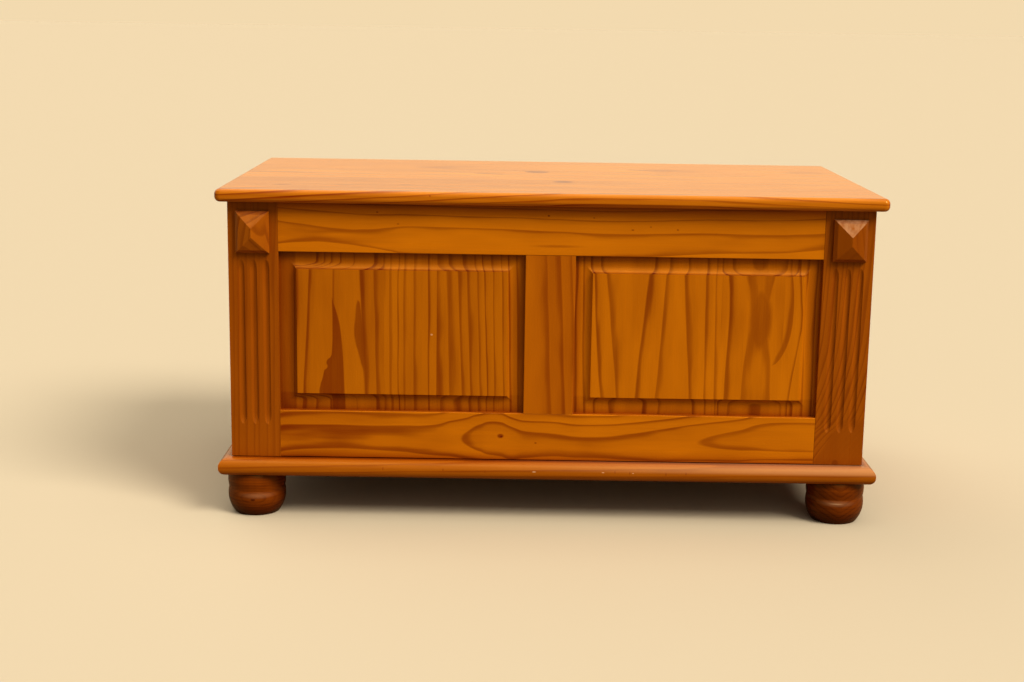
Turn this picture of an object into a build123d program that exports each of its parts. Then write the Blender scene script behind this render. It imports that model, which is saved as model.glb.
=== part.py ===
"""Pine blanket chest with a lift-up lid.

A framed front with two raised panels, fluted stiles and pyramid blocks, plain
sides and back, a rounded plinth on four turned bun feet, and a lid on two butt
hinges. Millimetres, +Z up, front facing -Y. The origin is on the floor, under
the middle of the lid.
"""
from build123d import *
from math import sqrt
import os

# ---------------------------------------------------------------- driving sizes
# Carcass
carcass_width = 900
carcass_depth = 465
frame_height = 365
board_thickness = 18
bottom_thickness = 12
bottom_clearance = 0.5

# Front frame
frame_thickness = 20
frame_gap = 1.0  # shadow gap between the front frame and the plinth
stile_width = 70
top_rail_width = 70
bottom_rail_width = 68
muntin_width = 70
arris_radius = 1.0
groove_depth = 9
groove_clearance = 0.1
tongue_clearance = 1.0

# Raised panels
panel_thickness = 14
panel_edge_thickness = 7
panel_setback = 2.5  # field face behind the front of the frame
field_margin = 24.5  # opening edge to field edge
cove_width = 10.5
cove_step = 1.5

# Flutes in the stiles
flute_count = 3
flute_pitch = 17.4
flute_radius = 6
flute_depth = 2.5
flute_runout_radius = 42
flute_exit_angle = 32  # sweep of each runout, past the face
flute_foot_margin = 48
flute_block_gap = 11

# Pyramid blocks
block_width = 47
block_height = 59
block_base = 6
block_bevel_width = 4.6
block_bevel_rise = 5
block_rise = 8.5
block_top_margin = 13
ridge_blunt = 0.3  # half the width of the worn ridge

# Plinth
plinth_thickness = 25
plinth_board_width = 95
plinth_front_overhang = 20
plinth_side_overhang = 17
plinth_radius = 11.5

# Feet
foot_height = 62
foot_inset = 48  # plinth edge to foot centre
foot_bead_radius = 41.5
foot_bead_top_radius = 39.8
foot_groove_radius = 40.2
foot_groove_height = 37.5
foot_bun_radius = 41.4
foot_bun_height = 27
foot_floor_radius = 31.5
foot_dowel_radius = 8
foot_dowel_in_foot = 30
foot_dowel_in_plinth = 18

# Lid
lid_thickness = 18
lid_front_overhang = 20
lid_side_overhang = 15
lid_back_overhang = 15
lid_corner_radius = 8
lid_nose_radius = 7
lid_back_radius = 1.5
batten_width = 45
batten_thickness = 18
batten_inset = 200  # carcass side to batten centre
batten_end_gap = 15
batten_chamfer = 4

# Hinges
hinge_length = 60
hinge_inset = 140  # carcass side to hinge centre
hinge_knuckles = 5
leaf_thickness = 2.0
leaf_gap = 0.4
leaf_edge_margin = 2.0  # leaf edge to the inner face of the back
barrel_radius = 3.2
barrel_gap = 0.2  # barrel to the back of the carcass
barrel_notch_clearance = 0.6
pin_radius = 1.5
pin_clearance = 0.05
pin_head_radius = 2.6
pin_head_length = 1.2
knuckle_gap = 0.3

# Dowels and screws
dowel_radius = 4
dowel_clearance = 0.05
dowel_end_gap = 1.0
frame_dowel_length = 50
frame_dowel_margin = 18  # outer edge of a rail to its first dowel
frame_dowel_pitch = 25
corner_dowel_length = 38
corner_dowel_in_face = 11
corner_dowel_count = 3
corner_dowel_margin = 60
plinth_dowel_length = 40
plinth_dowel_pitch = 45
hinge_screw_length = 15
hinge_screw_radius = 1.5
hinge_screw_head = 3.0
hinge_screw_pitch = 20
batten_screw_length = 30
batten_screw_radius = 2.0
batten_screw_head = 4.0
batten_screw_count = 3
batten_screw_margin = 60
plinth_screw_length = 60
plinth_screw_radius = 2.5
plinth_screw_head = 5.0
plinth_screw_pitch = 120
back_screw_pitch = 250
screw_clearance = 0.03
countersink_angle = 90

# ---------------------------------------------------------------- worked-out places
lid_depth = lid_front_overhang + carcass_depth + lid_back_overhang
lid_width = carcass_width + 2 * lid_side_overhang
front_y = -lid_depth / 2 + lid_front_overhang
frame_back_y = front_y + frame_thickness
back_y = front_y + carcass_depth
back_inner_y = back_y - board_thickness
side_x = carcass_width / 2
side_inner_x = side_x - board_thickness

plinth_top = foot_height + plinth_thickness
frame_bottom = plinth_top + frame_gap
carcass_top = frame_bottom + frame_height
lid_top = carcass_top + lid_thickness

stile_inner_x = side_x - stile_width
stile_centre_x = side_x - stile_width / 2
opening_bottom = frame_bottom + bottom_rail_width
opening_top = carcass_top - top_rail_width
opening_width = stile_inner_x - muntin_width / 2
opening_height = opening_top - opening_bottom
panel_x = muntin_width / 2 + opening_width / 2
panel_z = (opening_bottom + opening_top) / 2

panel_back_y = front_y + panel_setback + panel_thickness
panel_edge_y = panel_back_y - panel_edge_thickness
groove_front_y = panel_edge_y - groove_clearance
groove_back_y = panel_back_y + groove_clearance
tongue_length = groove_depth - tongue_clearance

plinth_front_y = front_y - plinth_front_overhang
plinth_inner_front_y = plinth_front_y + plinth_board_width
plinth_side_x = side_x + plinth_side_overhang
plinth_inner_x = plinth_side_x - plinth_board_width
plinth_inner_back_y = back_y - plinth_board_width

block_top = carcass_top - block_top_margin
block_bottom = block_top - block_height

pin_y = back_y + barrel_gap + barrel_radius
leaf_front_y = back_inner_y + leaf_edge_margin
hinge_x = side_x - hinge_inset
leaf_recess = leaf_thickness + leaf_gap / 2
hinge_screw_y = (leaf_front_y + back_y) / 2

SIDES = (-1, 1)
HANDS = tuple(zip(SIDES, ("left", "right")))
BASE = (Align.CENTER, Align.CENTER, Align.MIN)

os.makedirs("parts", exist_ok=True)


# ---------------------------------------------------------------- shared steps
def save(piece, node):
    """Name a finished piece and write it."""
    piece.part.label = node
    export_step(piece.part, f"parts/{node}.step")


def block(low, high, mode=Mode.ADD):
    """Add or cut a square-edged block between two opposite corners."""
    corners = [sorted(pair) for pair in zip(low, high)]
    middle = [(near + far) / 2 for near, far in corners]
    size = [far - near for near, far in corners]
    with Locations(tuple(middle)):
        Box(*size, mode=mode)


def rods(planes, radius, length, mode=Mode.ADD):
    """Add or cut round rods that start at the planes and run along their normals."""
    with Locations(*planes):
        Cylinder(radius, length, align=BASE, mode=mode)


def dowel_planes(points, direction):
    return [Plane(origin=point, z_dir=direction) for point in points]


def spaced(count, first, last):
    """Evenly spaced places from first to last."""
    step = (last - first) / (count - 1)
    return [first + index * step for index in range(count)]


def wood_screw(length, radius, head_radius):
    """Countersunk screw, head flush at the origin, point along +Z."""
    point_length = 2 * radius
    with BuildPart() as screw:
        with BuildSketch(Plane.XZ):
            with BuildLine():
                Polyline(
                    (0, 0),
                    (head_radius, 0),
                    (radius, head_radius - radius),
                    (radius, length - point_length),
                    (0, length),
                    close=True,
                )
            make_face()
        revolve(axis=Axis.Z)
    return screw.part


# ---------------------------------------------------------------- fixing places
# Rail-to-stile dowels: centred on the joint, in the middle of the frame's thickness.
dowel_y = front_y + frame_thickness / 2
top_rail_dowel_z = [carcass_top - frame_dowel_margin - row * frame_dowel_pitch for row in (0, 1)]
bottom_rail_dowel_z = [frame_bottom + frame_dowel_margin + row * frame_dowel_pitch for row in (0, 1)]


def rail_dowels(heights):
    """Planes at the outer ends of one rail's dowels, pointing to the middle."""
    outer_x = stile_inner_x + frame_dowel_length / 2
    return [
        Plane(origin=(side * outer_x, dowel_y, z), z_dir=(-side, 0, 0))
        for side in SIDES
        for z in heights
    ]


# Corner dowels: stile to side board, and side board to back board.
corner_dowel_z = spaced(
    corner_dowel_count,
    plinth_top + corner_dowel_margin,
    carcass_top - corner_dowel_margin,
)
side_board_x = side_x - board_thickness / 2
back_board_y = back_y - board_thickness / 2


def front_corner_dowels(side):
    start_y = frame_back_y - corner_dowel_in_face
    return dowel_planes([(side * side_board_x, start_y, z) for z in corner_dowel_z], (0, 1, 0))


def back_corner_dowels(side):
    start_x = side_inner_x + corner_dowel_in_face
    return dowel_planes([(side * start_x, back_board_y, z) for z in corner_dowel_z], (-side, 0, 0))


# Plinth dowels: square across the front mitres and the back butt joints.
plinth_middle_z = foot_height + plinth_thickness / 2
mitre_middle = (
    plinth_side_x - plinth_board_width / 2,
    plinth_front_y + plinth_board_width / 2,
)


def mitre_dowels(side):
    """Two dowels square to the front mitre, spaced along it."""
    along = plinth_dowel_pitch / 2 / sqrt(2)
    half = plinth_dowel_length / 2 / sqrt(2)
    planes = []
    for step in (-along, along):
        x = side * (mitre_middle[0] - step - half)
        y = mitre_middle[1] + step - half
        planes.append(Plane(origin=(x, y, plinth_middle_z), z_dir=(side, 1, 0)))
    return planes


def plinth_back_dowels(side):
    middle_y = back_y - plinth_board_width / 2
    start_x = side * (plinth_inner_x + plinth_dowel_length / 2)
    points = [(start_x, middle_y + shift * plinth_dowel_pitch / 2, plinth_middle_z) for shift in (-1, 1)]
    return dowel_planes(points, (-side, 0, 0))


# Plinth screws: up through the plinth into the sides and the back.
def side_plinth_screws(side):
    points = [(side * side_board_x, row * plinth_screw_pitch, foot_height) for row in (-1, 0, 1)]
    return dowel_planes(points, (0, 0, 1))


back_plinth_screws = dowel_planes(
    [(row * back_screw_pitch, back_board_y, foot_height) for row in (-1, 0, 1)],
    (0, 0, 1),
)

# Foot dowels.
foot_x = plinth_side_x - foot_inset
foot_front_y = plinth_front_y + foot_inset
foot_back_y = back_y - foot_inset
FEET = [
    (side * foot_x, y, f"foot_{place}_{hand}")
    for y, place in ((foot_front_y, "front"), (foot_back_y, "back"))
    for side, hand in HANDS
]


def foot_dowel_holes(side, y_places):
    planes = dowel_planes([(side * foot_x, y, foot_height) for y in y_places], (0, 0, 1))
    rods(planes, foot_dowel_radius + dowel_clearance, foot_dowel_in_plinth + dowel_end_gap, Mode.SUBTRACT)


# Batten screws and hinge screws.
batten_x = side_x - batten_inset
batten_bottom = carcass_top - batten_thickness
batten_front_y = frame_back_y + batten_end_gap
batten_back_y = back_inner_y - batten_end_gap
batten_screw_y = spaced(
    batten_screw_count,
    batten_front_y + batten_screw_margin,
    batten_back_y - batten_screw_margin,
)


def batten_screw_planes(side):
    return dowel_planes([(side * batten_x, y, batten_bottom) for y in batten_screw_y], (0, 0, 1))


def hinge_screw_planes(side, face_z, direction):
    points = [
        (side * hinge_x + row * hinge_screw_pitch, hinge_screw_y, face_z)
        for row in (-1, 0, 1)
    ]
    return dowel_planes(points, (0, 0, direction))


# ---------------------------------------------------------------- front frame
# Stiles: grooved on the inner edge, three flutes with tapering ends on the face.
flute_runout = sqrt(2 * flute_runout_radius * flute_depth - flute_depth**2)
flute_bottom = frame_bottom + flute_foot_margin + flute_runout
flute_top = block_bottom - flute_block_gap - flute_runout
flute_centre_y = front_y - flute_radius + flute_depth

for side, hand in HANDS:
    with BuildPart() as stile:
        block((side * stile_inner_x, front_y, frame_bottom), (side * side_x, frame_back_y, carcass_top))
        front_edges = stile.edges().filter_by(Axis.Z).group_by(Axis.Y)[0]
        inner_edge = front_edges.sort_by(Axis.X)[0 if side > 0 else -1]
        fillet(inner_edge, arris_radius)
        block(
            (side * stile_inner_x, groove_front_y, opening_bottom - groove_depth),
            (side * (stile_inner_x + groove_depth), groove_back_y, opening_top + groove_depth),
            Mode.SUBTRACT,
        )
        for index in range(flute_count):
            flute_x = side * stile_centre_x + (index - (flute_count - 1) / 2) * flute_pitch
            with BuildLine(Plane.YZ.offset(flute_x)) as flute_path:
                straight = Line((flute_centre_y, flute_bottom), (flute_centre_y, flute_top))
                JernArc(straight @ 1, (0, 1), flute_runout_radius, flute_exit_angle)
                JernArc(straight @ 0, (0, -1), flute_runout_radius, -flute_exit_angle)
            flute_wire = flute_path.wires()[0]
            with BuildSketch(Plane(origin=flute_wire @ 0, z_dir=flute_wire % 0)) as flute_section:
                Circle(flute_radius)
            sweep(sections=flute_section.sketch, path=flute_wire, mode=Mode.SUBTRACT)
        rods(
            rail_dowels(top_rail_dowel_z + bottom_rail_dowel_z),
            dowel_radius + dowel_clearance,
            frame_dowel_length + dowel_end_gap,
            Mode.SUBTRACT,
        )
        rods(
            front_corner_dowels(side),
            dowel_radius + dowel_clearance,
            corner_dowel_length + dowel_end_gap,
            Mode.SUBTRACT,
        )
    save(stile, f"front_stile_{hand}")

# Rails: dowelled between the stiles, grooved for the panels on their inner edges.
for node, outer_z, opening_z, groove_z, dowel_z in (
    ("front_top_rail", carcass_top, opening_top, opening_top + groove_depth, top_rail_dowel_z),
    ("front_bottom_rail", frame_bottom, opening_bottom, opening_bottom - groove_depth, bottom_rail_dowel_z),
):
    with BuildPart() as rail:
        block((-stile_inner_x, front_y, outer_z), (stile_inner_x, frame_back_y, opening_z))
        fillet(rail.edges().filter_by(Axis.X).group_by(Axis.Y)[0], arris_radius)
        block(
            (-stile_inner_x, groove_front_y, opening_z),
            (stile_inner_x, groove_back_y, groove_z),
            Mode.SUBTRACT,
        )
        rods(
            rail_dowels(dowel_z),
            dowel_radius + dowel_clearance,
            frame_dowel_length + dowel_end_gap,
            Mode.SUBTRACT,
        )
    save(rail, node)

# Muntin: stub tenons in the rails' grooves, grooved for a panel on each side.
with BuildPart() as muntin:
    muntin_x = muntin_width / 2
    block((-muntin_x, front_y, opening_bottom), (muntin_x, frame_back_y, opening_top))
    fillet(muntin.edges().filter_by(Axis.Z).group_by(Axis.Y)[0], arris_radius)
    for side in SIDES:
        block(
            (side * (muntin_x - groove_depth), groove_front_y, opening_bottom),
            (side * muntin_x, groove_back_y, opening_top),
            Mode.SUBTRACT,
        )
    block(
        (groove_depth - muntin_x, panel_edge_y, opening_bottom - tongue_length),
        (muntin_x - groove_depth, panel_back_y, opening_top + tongue_length),
    )
save(muntin, "front_muntin")

frame_dowel_planes = rail_dowels(top_rail_dowel_z + bottom_rail_dowel_z)
with BuildPart() as frame_dowels:
    rods(frame_dowel_planes, dowel_radius, frame_dowel_length)
save(frame_dowels, "front_frame_dowels")


# ---------------------------------------------------------------- raised panels
def raised_section(plane, field_span, panel_span):
    """Section across a raised panel: tongue, cove, step and field, depth along the plane's Y."""
    field = field_span / 2
    edge = panel_span / 2
    field_y = front_y + panel_setback
    cove_start = (field + cove_width, panel_edge_y)
    cove_end = (field, field_y + cove_step)
    with BuildSketch(plane) as section:
        with BuildLine():
            Polyline((0, panel_back_y), (edge, panel_back_y), (edge, panel_edge_y), cove_start)
            TangentArc(cove_start, cove_end, tangent=(-1, 0))
            Polyline(cove_end, (field, field_y), (0, field_y))
            mirror(about=Plane.YZ)
        make_face()
    return section.sketch


field_width = opening_width - 2 * field_margin
field_height = opening_height - 2 * field_margin
panel_width = opening_width + 2 * tongue_length
panel_height = opening_height + 2 * tongue_length

for side, hand in HANDS:
    plan = Plane(origin=(side * panel_x, 0, panel_z), x_dir=(1, 0, 0), z_dir=(0, 0, 1))
    upright = Plane(origin=(side * panel_x, 0, panel_z), x_dir=(0, 0, 1), z_dir=(-1, 0, 0))
    with BuildPart() as panel:
        extrude(raised_section(plan, field_width, panel_width), panel_height / 2, both=True)
        extrude(
            raised_section(upright, field_height, panel_height),
            panel_width / 2,
            both=True,
            mode=Mode.INTERSECT,
        )
    save(panel, f"front_panel_{hand}")


# ---------------------------------------------------------------- pyramid blocks
def pyramid_section(plane, span, ridge_half):
    """Section across a pyramid block, its base on the frame's face."""
    half = span / 2
    base_y = front_y - block_base
    bevel_y = base_y - block_bevel_rise
    apex_y = bevel_y - block_rise
    with BuildSketch(plane) as section:
        with BuildLine():
            Polyline(
                (0, front_y),
                (half, front_y),
                (half, base_y),
                (half - block_bevel_width, bevel_y),
                (ridge_half, apex_y),
                (0, apex_y),
            )
            mirror(about=Plane.YZ)
        make_face()
    return section.sketch


block_z = (block_bottom + block_top) / 2
ridge_half = (block_height - block_width) / 2
for side, hand in HANDS:
    plan = Plane(origin=(side * stile_centre_x, 0, block_z), x_dir=(1, 0, 0), z_dir=(0, 0, 1))
    upright = Plane(origin=(side * stile_centre_x, 0, block_z), x_dir=(0, 0, 1), z_dir=(-1, 0, 0))
    with BuildPart() as pyramid:
        extrude(pyramid_section(plan, block_width, ridge_blunt), block_height / 2, both=True)
        extrude(
            pyramid_section(upright, block_height, ridge_half + ridge_blunt),
            block_width / 2,
            both=True,
            mode=Mode.INTERSECT,
        )
    save(pyramid, f"pyramid_block_{hand}")

# ---------------------------------------------------------------- sides, back and bottom
for side, hand in HANDS:
    with BuildPart() as side_board:
        block((side * side_inner_x, frame_back_y, plinth_top), (side * side_x, back_y, carcass_top))
        rods(
            front_corner_dowels(side) + back_corner_dowels(side),
            dowel_radius + dowel_clearance,
            corner_dowel_length + dowel_end_gap,
            Mode.SUBTRACT,
        )
        rods(
            side_plinth_screws(side),
            plinth_screw_radius + screw_clearance,
            plinth_screw_length + dowel_end_gap,
            Mode.SUBTRACT,
        )
    save(side_board, f"side_board_{hand}")

with BuildPart() as back_board:
    block((-side_inner_x, back_inner_y, plinth_top), (side_inner_x, back_y, carcass_top))
    for side in SIDES:
        block(
            (side * hinge_x - hinge_length / 2, leaf_front_y, carcass_top - leaf_recess),
            (side * hinge_x + hinge_length / 2, back_y, carcass_top),
            Mode.SUBTRACT,
        )
        rods(
            hinge_screw_planes(side, carcass_top, -1),
            hinge_screw_radius + screw_clearance,
            hinge_screw_length + dowel_end_gap,
            Mode.SUBTRACT,
        )
        rods(
            back_corner_dowels(side),
            dowel_radius + dowel_clearance,
            corner_dowel_length + dowel_end_gap,
            Mode.SUBTRACT,
        )
    rods(
        back_plinth_screws,
        plinth_screw_radius + screw_clearance,
        plinth_screw_length + dowel_end_gap,
        Mode.SUBTRACT,
    )
save(back_board, "back_board")

with BuildPart() as corner_dowels:
    for side in SIDES:
        rods(front_corner_dowels(side) + back_corner_dowels(side), dowel_radius, corner_dowel_length)
save(corner_dowels, "corner_dowels")

with BuildPart() as bottom_board:
    bottom_x = side_inner_x - bottom_clearance
    block(
        (-bottom_x, frame_back_y + bottom_clearance, plinth_top),
        (bottom_x, back_inner_y - bottom_clearance, plinth_top + bottom_thickness),
    )
save(bottom_board, "bottom_board")


# ---------------------------------------------------------------- plinth
def plinth_outline(*corners):
    """The outline of a plinth board in plan, at its underside."""
    with BuildSketch(Plane.XY.offset(foot_height)) as outline:
        with BuildLine():
            Polyline(*corners, close=True)
        make_face()
    return outline.sketch


with BuildPart() as plinth_front:
    front_outline = plinth_outline(
        (-plinth_side_x, plinth_front_y),
        (plinth_side_x, plinth_front_y),
        (plinth_inner_x, plinth_inner_front_y),
        (-plinth_inner_x, plinth_inner_front_y),
    )
    extrude(front_outline, plinth_thickness, dir=(0, 0, 1))
    fillet(plinth_front.edges().filter_by(Axis.X).group_by(Axis.Y)[0], plinth_radius)
    for side in SIDES:
        foot_dowel_holes(side, [foot_front_y])
        rods(
            mitre_dowels(side),
            dowel_radius + dowel_clearance,
            plinth_dowel_length + dowel_end_gap,
            Mode.SUBTRACT,
        )
save(plinth_front, "plinth_front")

for side, hand in HANDS:
    with BuildPart() as plinth_side:
        side_outline = plinth_outline(
            (side * plinth_side_x, plinth_front_y),
            (side * plinth_side_x, back_y),
            (side * plinth_inner_x, back_y),
            (side * plinth_inner_x, plinth_inner_front_y),
        )
        extrude(side_outline, plinth_thickness, dir=(0, 0, 1))
        outer_edges = plinth_side.edges().filter_by(Axis.Y).group_by(Axis.X)[-1 if side > 0 else 0]
        fillet(outer_edges, plinth_radius)
        foot_dowel_holes(side, [foot_front_y, foot_back_y])
        rods(
            mitre_dowels(side) + plinth_back_dowels(side),
            dowel_radius + dowel_clearance,
            plinth_dowel_length + dowel_end_gap,
            Mode.SUBTRACT,
        )
        heads = dowel_planes([plane.origin for plane in side_plinth_screws(side)], (0, 0, -1))
        with Locations(*heads):
            CounterSinkHole(
                plinth_screw_radius + screw_clearance,
                plinth_screw_head + screw_clearance,
                plinth_thickness,
                countersink_angle,
            )
    save(plinth_side, f"plinth_{hand}")

with BuildPart() as plinth_back:
    block(
        (-plinth_inner_x, plinth_inner_back_y, foot_height),
        (plinth_inner_x, back_y, plinth_top),
    )
    for side in SIDES:
        rods(
            plinth_back_dowels(side),
            dowel_radius + dowel_clearance,
            plinth_dowel_length + dowel_end_gap,
            Mode.SUBTRACT,
        )
    heads = dowel_planes([plane.origin for plane in back_plinth_screws], (0, 0, -1))
    with Locations(*heads):
        CounterSinkHole(
            plinth_screw_radius + screw_clearance,
            plinth_screw_head + screw_clearance,
            plinth_thickness,
            countersink_angle,
        )
save(plinth_back, "plinth_back")

with BuildPart() as plinth_dowels:
    for side in SIDES:
        rods(mitre_dowels(side) + plinth_back_dowels(side), dowel_radius, plinth_dowel_length)
save(plinth_dowels, "plinth_dowels")

plinth_screw = wood_screw(plinth_screw_length, plinth_screw_radius, plinth_screw_head)
with BuildPart() as plinth_screws:
    with Locations(*side_plinth_screws(-1), *side_plinth_screws(1), *back_plinth_screws):
        add(plinth_screw)
save(plinth_screws, "plinth_screws")

# ---------------------------------------------------------------- feet
for foot_centre_x, foot_centre_y, node in FEET:
    with BuildPart() as foot:
        with BuildSketch(Plane(origin=(foot_centre_x, foot_centre_y, 0), x_dir=(1, 0, 0), z_dir=(0, -1, 0))):
            with BuildLine():
                Polyline((0, 0), (foot_floor_radius, 0))
                ThreePointArc(
                    (foot_floor_radius, 0),
                    (foot_bun_radius, foot_bun_height),
                    (foot_groove_radius, foot_groove_height),
                )
                ThreePointArc(
                    (foot_groove_radius, foot_groove_height),
                    (foot_bead_radius, (foot_groove_height + foot_height) / 2),
                    (foot_bead_top_radius, foot_height),
                )
                Polyline((foot_bead_top_radius, foot_height), (0, foot_height), (0, 0))
            make_face()
        revolve(axis=Axis((foot_centre_x, foot_centre_y, 0), (0, 0, 1)))
        rods(
            [Plane(origin=(foot_centre_x, foot_centre_y, foot_height), z_dir=(0, 0, -1))],
            foot_dowel_radius + dowel_clearance,
            foot_dowel_in_foot + dowel_end_gap,
            Mode.SUBTRACT,
        )
    save(foot, node)

with BuildPart() as foot_dowels:
    dowel_foot_z = foot_height - foot_dowel_in_foot
    rods(
        dowel_planes([(x, y, dowel_foot_z) for x, y, node in FEET], (0, 0, 1)),
        foot_dowel_radius,
        foot_dowel_in_foot + foot_dowel_in_plinth,
    )
save(foot_dowels, "foot_dowels")

# ---------------------------------------------------------------- lid
hinge_screw = wood_screw(hinge_screw_length, hinge_screw_radius, hinge_screw_head)
batten_screw = wood_screw(batten_screw_length, batten_screw_radius, batten_screw_head)

with BuildPart() as lid_board:
    block((-lid_width / 2, -lid_depth / 2, carcass_top), (lid_width / 2, lid_depth / 2, lid_top))
    fillet(lid_board.edges().filter_by(Axis.Z).group_by(Axis.Y)[0], lid_corner_radius)
    fillet(lid_board.edges().filter_by(Axis.X).group_by(Axis.Y)[-1], lid_back_radius)
    nose_edges = lid_board.edges().filter_by(GeomType.LINE).filter_by(Axis.Z, reverse=True)
    nose_edges = nose_edges.filter_by_position(Axis.Y, -lid_depth / 2, lid_depth / 2 - 2 * lid_back_radius)
    fillet(nose_edges, lid_nose_radius)
    for side in SIDES:
        block(
            (side * hinge_x - hinge_length / 2, leaf_front_y, carcass_top),
            (side * hinge_x + hinge_length / 2, pin_y, carcass_top + leaf_recess),
            Mode.SUBTRACT,
        )
        notch_length = hinge_length + 2 * (pin_head_length + barrel_notch_clearance)
        notch_start = (side * hinge_x - notch_length / 2, pin_y, carcass_top)
        with Locations(Plane(origin=notch_start, z_dir=(1, 0, 0))):
            Cylinder(barrel_radius + barrel_notch_clearance, notch_length, align=BASE, mode=Mode.SUBTRACT)
        rods(
            hinge_screw_planes(side, carcass_top, 1),
            hinge_screw_radius + screw_clearance,
            hinge_screw_length + dowel_end_gap,
            Mode.SUBTRACT,
        )
        rods(
            batten_screw_planes(side),
            batten_screw_radius + screw_clearance,
            batten_screw_length + dowel_end_gap,
            Mode.SUBTRACT,
        )
save(lid_board, "lid_board")

for side, hand in HANDS:
    with BuildPart() as batten:
        block(
            (side * batten_x - batten_width / 2, batten_front_y, batten_bottom),
            (side * batten_x + batten_width / 2, batten_back_y, carcass_top),
        )
        chamfer(batten.faces().sort_by(Axis.Z)[0].edges(), batten_chamfer)
        heads = dowel_planes([plane.origin for plane in batten_screw_planes(side)], (0, 0, -1))
        with Locations(*heads):
            CounterSinkHole(
                batten_screw_radius + screw_clearance,
                batten_screw_head + screw_clearance,
                batten_thickness,
                countersink_angle,
            )
    save(batten, f"lid_batten_{hand}")

with BuildPart() as batten_screws:
    with Locations(*batten_screw_planes(-1), *batten_screw_planes(1)):
        add(batten_screw)
save(batten_screws, "lid_batten_screws")

# ---------------------------------------------------------------- hinges
knuckle_length = (hinge_length - (hinge_knuckles - 1) * knuckle_gap) / hinge_knuckles
knuckle_step = knuckle_length + knuckle_gap


def knuckle_places(start_x, first):
    """X of every other knuckle's left end, from the first or the second."""
    return [start_x + index * knuckle_step for index in range(first, hinge_knuckles, 2)]


def hinge_leaf(side, near_z, far_z, first, screw_face_z, screw_direction):
    """One leaf: a plate let into the wood, its own knuckles, and room for the other's."""
    start_x = side * hinge_x - hinge_length / 2
    own = knuckle_places(start_x, first)
    other = knuckle_places(start_x, 1 - first)
    block((start_x, leaf_front_y, near_z), (start_x + hinge_length, pin_y, far_z))
    for x in other:
        with Locations(Plane(origin=(x - knuckle_gap, pin_y, carcass_top), z_dir=(1, 0, 0))):
            Cylinder(
                barrel_radius + knuckle_gap,
                knuckle_length + 2 * knuckle_gap,
                align=BASE,
                mode=Mode.SUBTRACT,
            )
    for x in own:
        with Locations(Plane(origin=(x, pin_y, carcass_top), z_dir=(1, 0, 0))):
            Cylinder(barrel_radius, knuckle_length, align=BASE)
    with Locations(Plane(origin=(start_x, pin_y, carcass_top), z_dir=(1, 0, 0))):
        Cylinder(pin_radius + pin_clearance, hinge_length, align=BASE, mode=Mode.SUBTRACT)
    screw_holes = [
        Plane(origin=plane.origin, z_dir=-plane.z_dir)
        for plane in hinge_screw_planes(side, screw_face_z, screw_direction)
    ]
    with Locations(*screw_holes):
        CounterSinkHole(
            hinge_screw_radius + screw_clearance,
            hinge_screw_head + screw_clearance,
            leaf_thickness,
            countersink_angle,
        )


body_face_z = carcass_top - leaf_gap / 2
lid_face_z = carcass_top + leaf_gap / 2
for side, hand in HANDS:
    with BuildPart() as body_leaf:
        hinge_leaf(side, body_face_z - leaf_thickness, body_face_z, 0, body_face_z, -1)
    save(body_leaf, f"hinge_body_leaf_{hand}")

    with BuildPart() as lid_leaf:
        hinge_leaf(side, lid_face_z, lid_face_z + leaf_thickness, 1, lid_face_z, 1)
    save(lid_leaf, f"hinge_lid_leaf_{hand}")

    with BuildPart() as hinge_pin:
        start_x = side * hinge_x - hinge_length / 2
        with Locations(Plane(origin=(start_x - pin_head_length, pin_y, carcass_top), z_dir=(1, 0, 0))):
            Cylinder(pin_radius, hinge_length + 2 * pin_head_length, align=BASE)
        for head_x in (start_x - pin_head_length, start_x + hinge_length):
            with Locations(Plane(origin=(head_x, pin_y, carcass_top), z_dir=(1, 0, 0))):
                Cylinder(pin_head_radius, pin_head_length, align=BASE)
    save(hinge_pin, f"hinge_pin_{hand}")

for node, face_z, direction in (
    ("hinge_body_screws", body_face_z, -1),
    ("hinge_lid_screws", lid_face_z, 1),
):
    with BuildPart() as hinge_screws:
        planes = hinge_screw_planes(-1, face_z, direction) + hinge_screw_planes(1, face_z, direction)
        with Locations(*planes):
            add(hinge_screw)
    save(hinge_screws, node)
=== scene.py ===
import math

import bmesh
import bpy
from mathutils import Matrix, Vector

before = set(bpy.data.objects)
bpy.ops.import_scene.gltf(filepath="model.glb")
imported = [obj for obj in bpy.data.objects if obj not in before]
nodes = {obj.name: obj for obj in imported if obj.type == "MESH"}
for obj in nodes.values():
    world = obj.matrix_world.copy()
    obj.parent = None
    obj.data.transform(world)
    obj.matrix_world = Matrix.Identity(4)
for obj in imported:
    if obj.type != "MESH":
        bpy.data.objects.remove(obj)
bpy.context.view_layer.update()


# ---- Room: a pale floor that runs out to a pale horizon, soft light from the front right, the front, above
# and the back left, and the camera a little above the lid. The lacquer mirrors a room that is palest
# behind the chest and dims towards the front.


def feed(tree, socket, value):
    """Links a socket's value, or writes a plain one."""
    if isinstance(value, bpy.types.NodeSocket):
        tree.links.new(value, socket)
    else:
        socket.default_value = value


def work_out(tree, operation, *values):
    """One step of arithmetic."""
    step = tree.nodes.new("ShaderNodeMath")
    step.operation = operation
    for socket, value in zip(step.inputs, values):
        feed(tree, socket, value)
    return step.outputs[0]


def blend_colour(tree, how, amount, first, second):
    """Lays one colour over another."""
    mix = tree.nodes.new("ShaderNodeMix")
    mix.data_type = "RGBA"
    mix.blend_type = how
    mix.clamp_factor = False
    feed(tree, mix.inputs[0], amount)
    feed(tree, mix.inputs[6], first)
    feed(tree, mix.inputs[7], second)
    return mix.outputs[2]


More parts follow.
